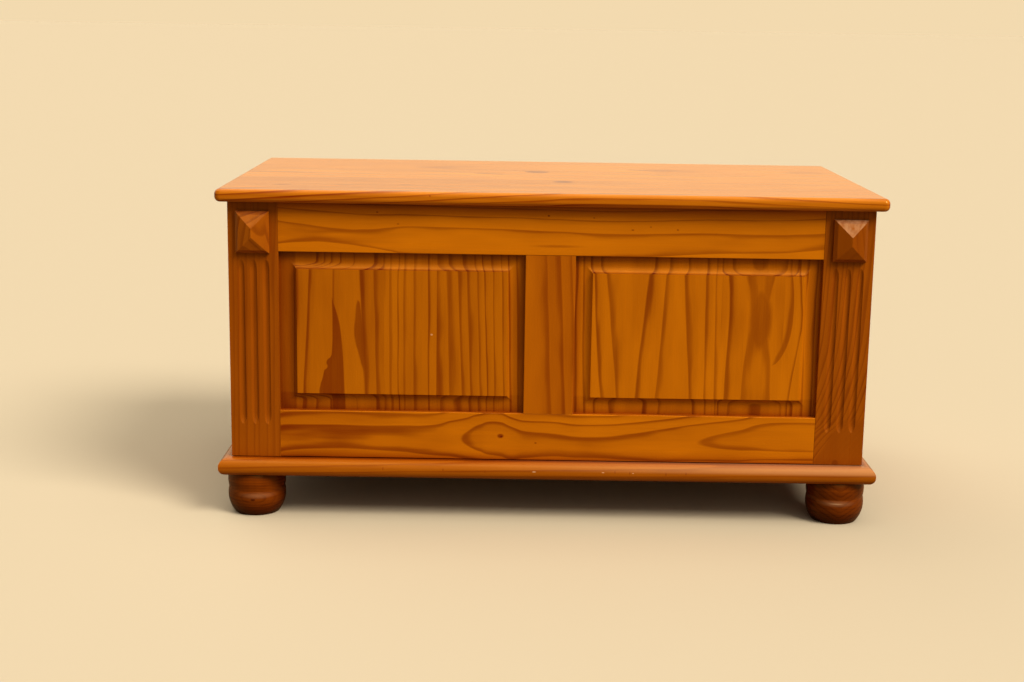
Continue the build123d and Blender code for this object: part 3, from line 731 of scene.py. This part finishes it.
# Top rail: flat-sawn, its heart behind the face and below the middle of the rail.
top_rail_early = (0.63, 0.166, 0.001, 1)
top_rail_seed = 41.0
top_rail, tree, board = start_board("pine_top_rail", left_to_right, upright, (0.001, front, 0.4012))
length = part_of(tree, board, "along")
heart_across = bend_along(
    tree,
    length,
    [(-380, 9), (-340, 8), (-302, 5.5), (-264, 3), (-227, 1.5), (-180, -0.5), (-100, -2.5), (0, -3),
     (94, -3), (150, -1.5), (233, 1.8), (302, 2.3), (343, 4.2), (380, 7)],
)
heart_out = bend_along(
    tree,
    length,
    [(-380, -47), (-340, -48.1), (-302, -48.5), (-264, -48.1), (-227, -46.9), (-180, -45.4),
     (-100, -45.1), (0, -46.2), (94, -47.1), (150, -47.2), (233, -47.6), (302, -48), (343, -48.2),
     (380, -48.4)],
)
late, tone = ring_lines(
    tree, board, (heart_across, heart_out), (0, 0), waver=1.6, edge=50.0, width=8.8, share=0.19,
    seed=top_rail_seed,
)
late = add_marks(
    tree,
    board,
    late,
    ((7, -5, 0), (52, 3.2, 9), 0.9, 0.55),
    ((-243, 39, 0), (2.2, 1.2, 9), 0.5, 0.9),
    ((-214, 23, 0), (2.0, 1.2, 9), 0.5, 0.7),
    ((-5, 37.5, 0), (2.0, 1.6, 9), 0.5, 1.0),
    ((58, 35.5, 0), (1.8, 1.1, 9), 0.5, 0.8),
    ((112, 19.5, 0), (2.6, 1.1, 9), 0.5, 1.0),
    ((137, 24, 0), (1.6, 1.0, 9), 0.5, 0.9),
    ((174.5, 20.5, 0), (2.0, 1.1, 9), 0.5, 1.0),
)
# Painted shade: the rail is darker towards its left end, where less light falls.
late = shade(tree, late, rise(tree, length, -190, -380), 0.15)
clear = marks(tree, board, ((-290, 6.5, 0), (75, 5.5, 20), 0.9, 0.8))
late = work_out(tree, "MULTIPLY", late, work_out(tree, "SUBTRACT", 1.0, clear))
finish_pine(top_rail, board, left_to_right, late, tone, top_rail_seed, top_rail_early, frame_late)
cover(top_rail, "front_top_rail")

# Bottom rail: flat-sawn, the heart rising towards the face at the right, so the rings close in loops.
bottom_rail_seed = 43.0
bottom_rail, tree, board = start_board("pine_bottom_rail", left_to_right, upright, (0.001, front, 0.0985))
length = part_of(tree, board, "along")
heart_across = bend_along(
    tree,
    length,
    [(-380, 16), (-350, 18.7), (-308, 19.6), (-265, 19.2), (-209, 18.4), (-166, 16.5), (-138, 19),
     (-117, 19.5), (-96, 21), (-68, 19.5), (-35, 12), (0, 12.4), (45, 9.6), (74, 9.5), (116, 11.2),
     (158, 13.9), (214, 19), (272, 23), (326, 29), (380, 29)],
)
heart_out = bend_along(
    tree,
    length,
    [(-380, -53.8), (-308, -54.9), (-209, -54.4), (-166, -53.2), (-138, -51.2), (-117, -48.9),
     (-96, -45.3), (-68, -42.6), (-35, -45.4), (0, -46.6), (60, -47.3), (116, -45.8), (158, -43.9),
     (214, -41.6), (272, -38.8), (326, -35.9), (380, -35.6)],
)
broad = bend_along(tree, length, [(-380, 0.62), (-250, 0.52), (-90, 0.40), (60, 0.36), (380, 0.34)])
late, tone = ring_lines(
    tree, board, (heart_across, heart_out), (0, 0), waver=1.2, edge=50.0, width=8.1, share=broad,
    seed=bottom_rail_seed,
)
late = add_marks(
    tree,
    board,
    late,
    ((-67.7, 24.2, 0), (6.2, 4.4, 9), 0.6, 1.0),
    ((-66.5, 23.2, 0), (2.6, 1.8, 9), 0.6, 1.35),
    ((-17.7, 14.6, 0), (2.6, 1.5, 9), 0.6, 0.9),
)
# Painted shade: the rail is darker towards its left end, where less light falls.
late = shade(tree, late, rise(tree, length, -60, -380), 0.22)
finish_pine(bottom_rail, board, left_to_right, late, tone, bottom_rail_seed, frame_early, frame_late)
cover(bottom_rail, "front_bottom_rail")

# Muntin: plain on its left half, two broad lines on its right.
muntin_early = (0.46, 0.107, 0.001, 1)
muntin_seed = 45.0
muntin, tree, board = start_board("pine_muntin", upright, to_left, (0, front, 0.265))
late, tone = ring_lines(
    tree, board, (45, -150), (0.053, 0), waver=2.5, edge=157.0, width=7.0, share=0.45,
    seed=muntin_seed, darker=1.0,
)
late = shade(tree, late, rise(tree, part_of(tree, board, "across"), 0.0, 12.0), -0.25)
finish_pine(muntin, board, upright, late, tone, muntin_seed, muntin_early, frame_late)
cover(muntin, "front_muntin")

# Stiles: fluted, the left one quarter-sawn with close upright lines, the right one with its grain
# sweeping across.
stile_early = (0.325, 0.067, 0.001, 1)
stile_late = (0.17, 0.024, 0.0004, 1)
left_stile_seed = 47.0
left_stile, tree, board = start_board("pine_stile_left", upright, to_left, (-0.415, front, 0.27))
late, tone = ring_lines(
    tree, board, (190, -10), (-0.012, 0), waver=9.5, edge=150.0, width=10.0, share=0.45,
    seed=left_stile_seed, uneven=1.6,
)
late = work_out(tree, "MULTIPLY", late, 0.6)
late = shade(tree, late, rise(tree, part_of(tree, board, "along"), -115, -160), -0.16)
finish_pine(left_stile, board, upright, late, tone, left_stile_seed, stile_early, stile_late, stain_and_shade_gather=0.2)
cover(left_stile, "front_stile_left")
right_stile_seed = 49.0
right_stile, tree, board = start_board("pine_stile_right", upright, to_left, (0.415, front, 0.27))
length = part_of(tree, board, "along")
heart_across = bend_along(
    tree,
    length,
    [(-182, 262), (-140, 233), (-116, 211), (-90, 200), (-50, 188), (-15, 180.5), (30, 176.5),
     (110, 172.5), (183, 170)],
)
late, tone = ring_lines(
    tree, board, (heart_across, -10), (0, 0), waver=8.0, edge=150.0, width=8.0, share=0.45,
    seed=right_stile_seed, uneven=1.6,
)
# Low down the lines stop at a smooth dark swirl over a knot on the lower edge.
below = work_out(tree, "ADD", length, 124.0)
beside = work_out(tree, "MULTIPLY_ADD", part_of(tree, board, "across"), -1.0, 3.0)
swirl = work_out(tree, "MULTIPLY", beside, 0.87)
swirl = rise(tree, work_out(tree, "SUBTRACT", swirl, work_out(tree, "MULTIPLY", below, 0.5)), -2.0, 4.0)
swirl = work_out(tree, "MULTIPLY", swirl, work_out(tree, "SUBTRACT", 1.0, rise(tree, below, 0, 14)))
late = work_out(tree, "MULTIPLY", late, work_out(tree, "MULTIPLY_ADD", swirl, -1.1, 1.0))
late = shade(tree, late, swirl, 0.42)
late = add_marks(tree, board, late, ((-180, 3.4, 0), (7.0, 6.5, 9), 0.45, 0.85))
late = work_out(tree, "SUBTRACT", late, 0.2)
finish_pine(right_stile, board, upright, late, tone, right_stile_seed, stile_early, stile_late, stain_and_shade_gather=0.3)
cover(right_stile, "front_stile_right")


# ---- Corner blocks: small hipped blocks of pine with a bevelled margin, the grain upright. They are glued
# on the tops of the stiles, above the flutes.

for name, x, heart, width, depth, seed, block_early, top_highlight, right_shade in (
    ("pyramid_block_left", -0.415, (28, -76), 5.6, 0.85, 51.0, (0.40, 0.090, 0.002, 1), 0.04, 0.0),
    ("pyramid_block_right", 0.415, (-30, -70), 8.0, 0.45, 52.0, (0.33, 0.068, 0.001, 1), 0.36, 0.3),
):
    block_pine, tree, board = start_board(f"pine_{name}", upright, to_left, (x, front, 0.41))
    late, tone = ring_lines(
        tree, board, heart, (0, 0.12), waver=3.0, edge=20.0, width=width, share=0.45, seed=seed, uneven=1.0
    )
    late = work_out(tree, "MULTIPLY", late, depth)
    where = tree.nodes.new("ShaderNodeTexCoord")
    upward = tree.nodes.new("ShaderNodeSeparateXYZ")
    tree.links.new(where.outputs["Normal"], upward.inputs[0])
    # Painted shade darkens the facets that face right, and a painted highlight pales the facets that face
    # up, in blotches.
    right_facing_shade = rise(tree, upward.outputs[0], 0.2, 0.36)
    late = shade(tree, late, right_facing_shade, right_shade)
    blotch = rise(
        tree, grain_noise(tree, board, seed, along=12, across=5, detail=2.0).outputs["Fac"], 0.15, 0.75
    )
    painted_top_highlight = work_out(tree, "MULTIPLY", rise(tree, upward.outputs[2], 0.2, 0.36), blotch)
    painted_top_highlight = work_out(tree, "MULTIPLY", painted_top_highlight, top_highlight)
    finish_pine(
        block_pine, board, upright, late, tone, seed, block_early, stile_late, wear=0.9, scrape_and_highlight=painted_top_highlight,
        dull=0.18, stain_and_shade_gather=0.25,
    )
    cover(block_pine, name)


# ---- Panels: upright pine staves glued edge to edge, with a cove worked round the raised field. Their
# edges sit in grooves in the frame.

field = -0.2275
cove_depth = 7.0


def joined(tree, board, seams, staves):
    """Takes each stave's grain between its glue seams; seams are places across the panel, in order."""
    across = part_of(tree, board, "across")
    chosen = list(staves[0])
    for seam, stave in zip(seams, staves[1:]):
        past = work_out(tree, "GREATER_THAN", across, seam)
        for index, (before, after) in enumerate(zip(chosen, stave)):
            mix = tree.nodes.new("ShaderNodeMix")
            feed(tree, mix.inputs[0], past)
            feed(tree, mix.inputs[2], before)
            feed(tree, mix.inputs[3], after)
            chosen[index] = mix.outputs[0]
    return chosen


def placed_lines(tree, board, places, leans, steps, shares, seed, deeper=0.0):
    """Growth lines set out across a stave: the year at each place, how much the lines lean along it,
    how far they step aside down in the cove, and how broad the dark of each year is."""
    across = part_of(tree, board, "across")
    lean = work_out(tree, "MULTIPLY", bend_along(tree, across, leans), part_of(tree, board, "along"))
    sunk = work_out(tree, "DIVIDE", part_of(tree, board, "out"), -cove_depth)
    step = work_out(tree, "MULTIPLY", bend_along(tree, across, steps), sunk)
    place = work_out(tree, "SUBTRACT", work_out(tree, "SUBTRACT", across, lean), step)
    sway = grain_noise(tree, board, seed, along=120, across=40, detail=2.0).outputs["Fac"]
    place = work_out(tree, "MULTIPLY_ADD", sway, 3.0, work_out(tree, "SUBTRACT", place, 1.5))
    year = bend_along(tree, place, places)
    share = work_out(tree, "MULTIPLY", bend_along(tree, place, shares), 1.8)
    late, tone = year_marks(tree, board, year, edge=0.0, width=1.0, share=share, seed=seed)
    return work_out(tree, "ADD", late, deeper), tone


def flame(tree, board, late, right, left, right_soft, left_soft, strength):
    """Darkens the board between two edges drawn along it, each crisp or soft."""
    length = part_of(tree, board, "along")
    across = part_of(tree, board, "across")
    start = work_out(tree, "SUBTRACT", across, bend_along(tree, length, right))
    stop = work_out(tree, "SUBTRACT", bend_along(tree, length, left), across)
    inside = rise(tree, start, -0.4, right_soft)
    inside = work_out(tree, "MULTIPLY", inside, rise(tree, stop, -0.4, left_soft))
    return work_out(tree, "MAXIMUM", late, work_out(tree, "MULTIPLY", inside, strength))


def shade_lower_cove(tree, board, late):
    """Darkens the lower cove, which faces down, as painted shade."""
    low = rise(tree, part_of(tree, board, "along"), -87, -91)
    return work_out(tree, "MINIMUM", shade(tree, late, low, 0.22), 1.0)


panel_left_early = (0.495, 0.127, 0.001, 1)
panel_right_early = (0.565, 0.147, 0.001, 1)
panel_late = (0.20, 0.026, 0.0003, 1)

# The left panel, in places across from its middle, counted towards the left.
left_panel_seed = 61.0
left_panel, tree, board = start_board("pine_panel_left", upright, to_left, (-0.2087, field, 0.2695))
staves = [
    placed_lines(
        tree,
        board,
        [(-174, 0), (-163, 1), (-152, 2), (-142.6, 3), (-129.9, 4), (-118.7, 5), (-107.9, 6), (-94.4, 7),
         (-81.7, 8), (-64.9, 9), (-50, 9.8)],
        [(-174, 0.01), (-142, 0.025), (-130, 0.023), (-119, 0.039), (-108, 0.032), (-94, 0.042),
         (-82, 0.041), (-65, 0.029), (-50, 0.025)],
        [(-174, 0), (-110, 3), (-94, 4), (-82, 7), (-65, 14), (-50, 14)],
        [(-174, 0.3), (-143, 0.16), (-130, 0.15), (-119, 0.15), (-108, 0.30), (-94, 0.30), (-82, 0.36),
         (-50, 0.34)],
        left_panel_seed,
    ),
    placed_lines(
        tree,
        board,
        [(-50, 0.3), (-37.4, 1), (-16.6, 2), (-2.6, 3), (5.4, 4), (17.7, 5), (26, 5.6)],
        [(-50, 0.01), (0, 0.002), (26, 0.018)],
        [(-50, 1), (26, -2)],
        [(-50, 0.12), (-37, 0.12), (-16, 0.22), (-2, 0.24), (6, 0.2), (18, 0.36), (26, 0.36)],
        62.0,
        -0.12,
    ),
    placed_lines(
        tree,
        board,
        [(22, 0.3), (38, 1), (55.9, 2), (97.4, 3), (134.6, 4), (150.9, 5), (163, 6), (173, 7)],
        [(22, 0.016), (38, 0.020), (55.9, 0.040), (75, 0.020), (97.4, -0.007), (134.6, -0.054),
         (151, -0.012), (173, -0.01)],
        [(22, -12), (38, -18), (56, -24), (97, -50), (134, -41), (151, -26), (173, -14)],
        [(22, 0.26), (38, 0.26), (56, 0.2), (97, 0.06), (135, 0.14), (151, 0.22), (173, 0.25)],
        64.0,
        0.12,
    ),
]
late, tone = joined(tree, board, (-50.0, 23.9), staves)
for left_soft, strength, right, left in (
    (
        1.2,
        0.93,
        [(-110, 79), (-87, 79.4), (-52, 80.6), (-31, 81.6), (-11, 83.2), (6, 85.1), (23, 88.6),
         (37, 92.7), (51, 96.9), (56, 98.5)],
        [(-110, 98), (-95, 99), (-90, 104), (-88.5, 116.3), (-77, 114.8), (-67, 111.8), (-55, 108.9),
         (-49, 104.6), (-45, 106), (-40, 104.6), (-36, 100.3), (-29, 98.3), (56, 98)],
    ),
    (
        3.0,
        0.85,
        [(-110, 51), (-40, 51.4), (-17, 52.2), (6, 53.5), (29, 55.7), (43, 57.6), (52, 62), (110, 62)],
        [(-110, 53), (-60, 54.5), (-45, 57.9), (-28, 62.1), (-11, 66.3), (3, 67.6), (18, 66.4),
         (38, 64.7), (52, 62), (110, 62)],
    ),
):
    late = flame(tree, board, late, right, left, 1.6, left_soft, strength)
speck = marks(tree, board, ((-1.7, -42.9, 0), (1.6, 2.2, 6), 0.5, 0.5))
# Painted shade: the margin and cove at the panel's left edge, which face away from the light, are darkened.
late = shade(tree, late, rise(tree, part_of(tree, board, "across"), 147, 151), 0.5)
late = shade_lower_cove(tree, board, late)
finish_pine(
    left_panel, board, upright, late, tone, left_panel_seed, panel_left_early, panel_late,
    scrape_and_highlight=speck, stain_and_shade_gather=0.75,
)
cover(left_panel, "front_panel_left")

# The right panel, counted the same way: a flamed stave at the right, a wide plainer one at the left.
right_panel_seed = 65.0
right_panel, tree, board = start_board("pine_panel_right", upright, to_left, (0.2099, field, 0.2695))
length = part_of(tree, board, "along")
flame_heart = bend_along(
    tree, length, [(-100, -76.6), (-40, -77.2), (-5, -78.0), (40, -78.3), (88, -76.9), (110, -76.2)]
)
staves = [
    ring_lines(
        tree, board, (-84.0, flame_heart), (0, 0), waver=1.6, edge=80.0, width=9.3, share=0.42,
        seed=right_panel_seed,
    ),
    placed_lines(
        tree,
        board,
        [(-31, 0.4), (-22.3, 1), (-8.2, 2), (17.4, 3), (53.5, 4), (81.5, 5), (123, 6), (144.5, 7),
         (158, 8), (170, 9)],
        [(-31, 0.02), (-8, 0.017), (17.4, 0.074), (35, 0.0), (53.5, -0.065), (81.5, -0.089), (102, 0.0),
         (123, 0.109), (144.5, 0.058), (170, 0.01)],
        [(-31, -2), (-8, -2.5), (17.4, -8), (53.5, -6), (81.5, -14), (102, 0), (123, 13), (144, 8),
         (170, 4)],
        [(-31, 0.2), (-8, 0.2), (17.4, 0.16), (53.5, 0.13), (81.5, 0.24), (123, 0.18), (144, 0.22),
         (170, 0.3)],
        66.0,
    ),
]
late, tone = joined(tree, board, (-31.0,), staves)
# Right of the flame one year hooks back into it, and the next slants away.
beside = work_out(tree, "ABSOLUTE", work_out(tree, "ADD", part_of(tree, board, "across"), 134.0))
within = rise(tree, work_out(tree, "ABSOLUTE", length), 92.0, 86.0)
plain = work_out(tree, "MULTIPLY", rise(tree, beside, 17.0, 14.0), within)
late = work_out(tree, "MULTIPLY", late, work_out(tree, "SUBTRACT", 1.0, plain))
late = flame(
    tree,
    board,
    late,
    [(-90, -103), (-46, -103), (-35, -112), (-25, -119), (-7, -126.6), (13, -131), (33, -132.5),
     (56, -132.5), (90, -129)],
    [(-90, -104), (-45, -103.4), (-31, -106.6), (-13, -114), (13, -121), (33, -123), (56, -125),
     (90, -124)],
    0.8,
    5.0,
    0.62,
)
late = flame(
    tree,
    board,
    late,
    [(-90, -131.5), (-59, -134.8), (-30, -139), (-1, -143), (27, -146), (56, -144), (90, -141.5)],
    [(-90, -127), (-59, -130.5), (-30, -135), (-1, -139.5), (27, -142), (56, -140), (90, -137)],
    0.8,
    3.5,
    0.75,
)
late = add_marks(tree, board, late, ((26, -86.5, 0), (56, 19, 20), 0.4, 0.68))
# Painted shade: the margin at the panel's right edge, beside the stile, is darkened.
late = shade(tree, late, rise(tree, part_of(tree, board, "across"), -148, -151), 0.12)
late = shade(tree, late, rise(tree, length, 30, -85), -0.09)
late = add_marks(tree, board, late, ((74, -84, 0), (44, 22, 20), 0.5, 0.36))
late = shade_lower_cove(tree, board, late)
finish_pine(
    right_panel, board, upright, late, tone, right_panel_seed, panel_right_early, panel_late, stain_and_shade_gather=0.75
)
cover(right_panel, "front_panel_right")


# ---- Lid: pine boards glued edge to edge, rounded along the front and sides, with two pine battens
# screwed under them. The boards are stained and lacquered all over, the battens unstained.

lid_top = (0.69, 0.198, 0.004, 1)
lid_under = (0.56, 0.165, 0.012, 1)
lid_late = (0.33, 0.058, 0.001, 1)
lid_seed = 71.0
lid_pine, tree, board = start_board("pine_lid", left_to_right, to_back, (0, 0, 0.471))
heart_out = bend_along(
    tree,
    part_of(tree, board, "along"),
    [(-465, -89), (-414, -85), (-360, -81), (-305, -77.5), (-209, -71.3), (-140, -66), (-72, -61.3),
     (-10, -57.7), (38, -54.3), (100, -54), (205, -54), (246, -55.2), (288, -57.3), (340, -60),
     (370, -61), (425, -64), (465, -65)],
)
front_stave = ring_lines(
    tree, board, (-246.0, heart_out), (0, 0), waver=1.5, edge=50.0, width=8.0, share=0.42, seed=70.0
)
heart_across, heart_out, lot, seed = glued_staves(tree, board, width=104.0, seed=lid_seed, aside=0.5)
others = ring_lines(
    tree, board, (heart_across, heart_out), (0.03, 0.03), waver=9.0, edge=50.0, width=9.0, share=0.3,
    seed=seed, uneven=1.0,
)
late, tone = joined(tree, board, (-156.0,), [front_stave, others])
length = part_of(tree, board, "along")
drift = grain_noise(tree, board, 77.0, along=300, across=60, detail=2.0).outputs["Fac"]
late = shade(tree, late, work_out(tree, "SUBTRACT", drift, 0.56), 0.9)
late = shade(tree, late, work_out(tree, "SUBTRACT", lot, 0.5), 0.3)
# Painted shade: the lid is darker towards its left end, where less light falls.
late = shade(tree, late, rise(tree, length, 465, -465), 0.36)
late = work_out(tree, "SUBTRACT", late, 0.2)
late = add_marks(
    tree,
    board,
    late,
    ((-17.5, 67.6, 0), (24, 20, 20), 0.4, 1.3),
    ((19.7, -81.3, 0), (19, 16, 20), 0.4, 1.35),
    ((-379.7, -177, 0), (18, 12, 20), 0.6, 0.9),
    ((-294, -171, 0), (18, 12, 20), 0.6, 0.8),
    ((-207, -158, 0), (16, 12, 20), 0.6, 0.8),
    ((177, 99, 0), (24, 14, 20), 0.8, 0.35),
    ((401, 110, 0), (42, 10, 20), 0.8, 0.45),
    ((-357, 203, 0), (6, 14, 20), 0.7, 0.6),
    ((-168, -249, -5), (1.6, 9, 1.2), 0.5, 1.0),
)
# Painted shade: faces that look forward, the nosing most, are darkened.
late = shade(tree, late, looking(tree, (0, -1, 0), 0.3, 0.85), 0.34)
lid_early = blend_colour(tree, "MIX", looking(tree, (0, 0, -1), 0.3, 0.9), lid_top, lid_under)
finish_pine(
    lid_pine, board, left_to_right, late, tone, lid_seed, lid_early, lid_late, relief=0.1, dull=0.15
)
cover(lid_pine, "lid_board")

for name, x, batten_seed in (("lid_batten_left", -0.25, 73.0), ("lid_batten_right", 0.25, 74.0)):
    batten_pine, tree, board = start_board(f"pine_{name}", to_back, left_to_right, (x, 0, 0.444))
    late, tone = ring_lines(
        tree, board, (10, 40), (0.0, 0.02), waver=5.0, edge=50.0, width=6.0, share=0.35, seed=batten_seed
    )
    finish_pine(batten_pine, board, to_back, late, tone, batten_seed, bare_early, bare_late)
    cover(batten_pine, name)


# ---- Dowels and fixings: beech dowels glued in the joints, zinc-plated steel screws under the plinth and
# battens, and two brassed butt hinges let in and screwed on.

beech_early = (0.60, 0.38, 0.20, 1)
beech_late = (0.45, 0.25, 0.12, 1)
beech_seed = 81.0
beech, tree, board = start_board("beech", left_to_right, to_back, (0, 0, 0))
late, tone = ring_lines(
    tree, board, (0, -40), (0.0, 0.02), waver=5.0, edge=50.0, width=2.0, share=0.5, seed=beech_seed
)
finish_pine(beech, board, left_to_right, late, tone, beech_seed, beech_early, beech_late, wear=0.0)
cover(beech, "front_frame_dowels", "corner_dowels", "plinth_dowels", "foot_dowels")


def metal(name, bright, dull, roughness, speckle):
    """Bare metal, dulled in clouds and rubbed bright again where it is handled."""
    finish = bpy.data.materials.new(name)
    finish.use_nodes = True
    tree = finish.node_tree
    shader = tree.nodes["Principled BSDF"]
    where = tree.nodes.new("ShaderNodeTexCoord")
    cloud = tree.nodes.new("ShaderNodeTexNoise")
    cloud.inputs["Scale"].default_value = speckle
    cloud.inputs["Detail"].default_value = 4.0
    tree.links.new(where.outputs["Object"], cloud.inputs["Vector"])
    tarnish = rise(tree, cloud.outputs["Fac"], 0.42, 0.66)
    tree.links.new(blend_colour(tree, "MIX", tarnish, bright, dull), shader.inputs["Base Color"])
    tree.links.new(work_out(tree, "MULTIPLY_ADD", tarnish, 0.22, roughness), shader.inputs["Roughness"])
    shader.inputs["Metallic"].default_value = 1.0
    return finish


brass = metal("aged_brass", (0.72, 0.50, 0.20, 1), (0.34, 0.20, 0.07, 1), 0.26, 140.0)
steel = metal("zinc_steel", (0.60, 0.60, 0.58, 1), (0.30, 0.29, 0.27, 1), 0.30, 160.0)
for hand in ("left", "right"):
    cover(brass, f"hinge_body_leaf_{hand}", f"hinge_lid_leaf_{hand}", f"hinge_pin_{hand}")
cover(brass, "hinge_body_screws", "hinge_lid_screws")
cover(steel, "lid_batten_screws", "plinth_screws")
